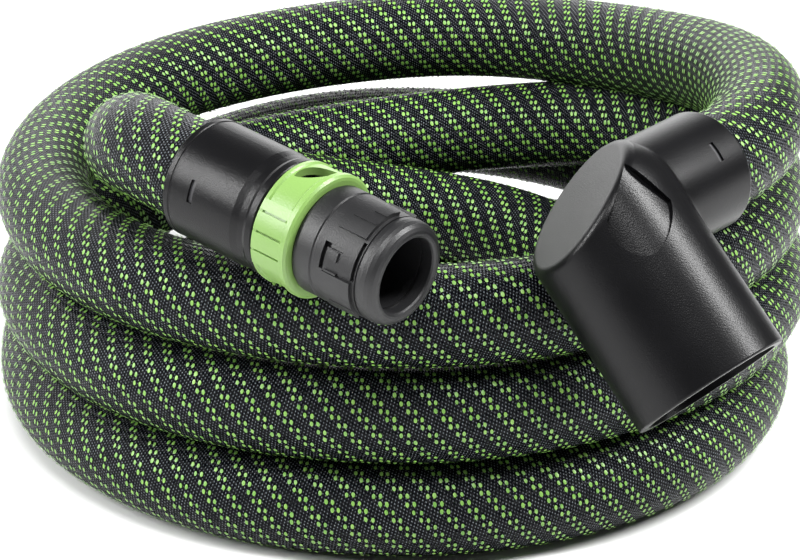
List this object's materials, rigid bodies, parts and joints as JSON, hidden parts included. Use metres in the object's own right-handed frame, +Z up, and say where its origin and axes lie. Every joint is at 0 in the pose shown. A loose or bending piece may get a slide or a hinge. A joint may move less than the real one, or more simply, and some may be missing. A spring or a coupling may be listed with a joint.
{
  "type": "dust extraction hose",
  "caption": "Flexible suction hose in a flecked woven sleeve, wound into a coil, with a straight tool connector with a bypass ring and a right-angled extractor elbow.",
  "frame": {"origin": "on the floor under the middle of the whole object's box", "axes": "+Z up, the coil's own axis; -Y is the side the tool connector and the elbow point to, +X the elbow's side"},
  "size_m": [0.312, 0.3784, 0.1585],
  "materials": {
    "sleeve": "woven, flecked",
    "black_plastic": "grained satin",
    "inner_plastic": "satin",
    "lime_plastic": "satin",
    "rubber": "matte",
    "spring_steel": "bright"
  },
  "bodies": {
    "hose": {"hose_coil": "sleeve", "hose_run_extractor": "sleeve", "hose_run_tool": "sleeve", "tool_cuff": "inner_plastic", "tool_cuff_thread": "inner_plastic", "tool_swivel_seal": "rubber", "tool_snap_ring": "spring_steel", "tool_contact_strip": "spring_steel", "elbow_cuff": "inner_plastic", "elbow_cuff_thread": "inner_plastic", "elbow_swivel_seal": "rubber", "elbow_snap_ring": "spring_steel", "elbow_contact_strip": "spring_steel"},
    "tool_connector": {"tool_collar": "black_plastic", "tool_collar_latch": "inner_plastic", "tool_core": "black_plastic", "bypass_seals": "rubber", "tool_socket": "rubber", "socket_lip": "rubber", "socket_liner": "rubber"},
    "bypass_ring": {"bypass_ring": "lime_plastic"},
    "elbow": {"elbow_body": "black_plastic", "elbow_latch": "inner_plastic", "elbow_mouth_seal": "rubber"}
  },
  "joints": [
    {"name": "connector_swivel", "type": "hinge", "parent": "hose", "child": "tool_connector", "pos_m": [-0.0673, -0.1047, 0.1363], "axis": [0.7572, -0.638, -0.1402], "continuous": true},
    {"name": "bypass_turn", "type": "hinge", "parent": "tool_connector", "child": "bypass_ring", "pos_m": [-0.02982, -0.13628, 0.12936], "axis": [0.7572, -0.638, -0.1402], "range_deg": [0, 60]},
    {"name": "elbow_swivel", "type": "hinge", "parent": "hose", "child": "elbow", "pos_m": [0.068, -0.1344, 0.1316], "axis": [-0.6669, -0.7437, -0.0459], "range_deg": [0, 195]}
  ]
}
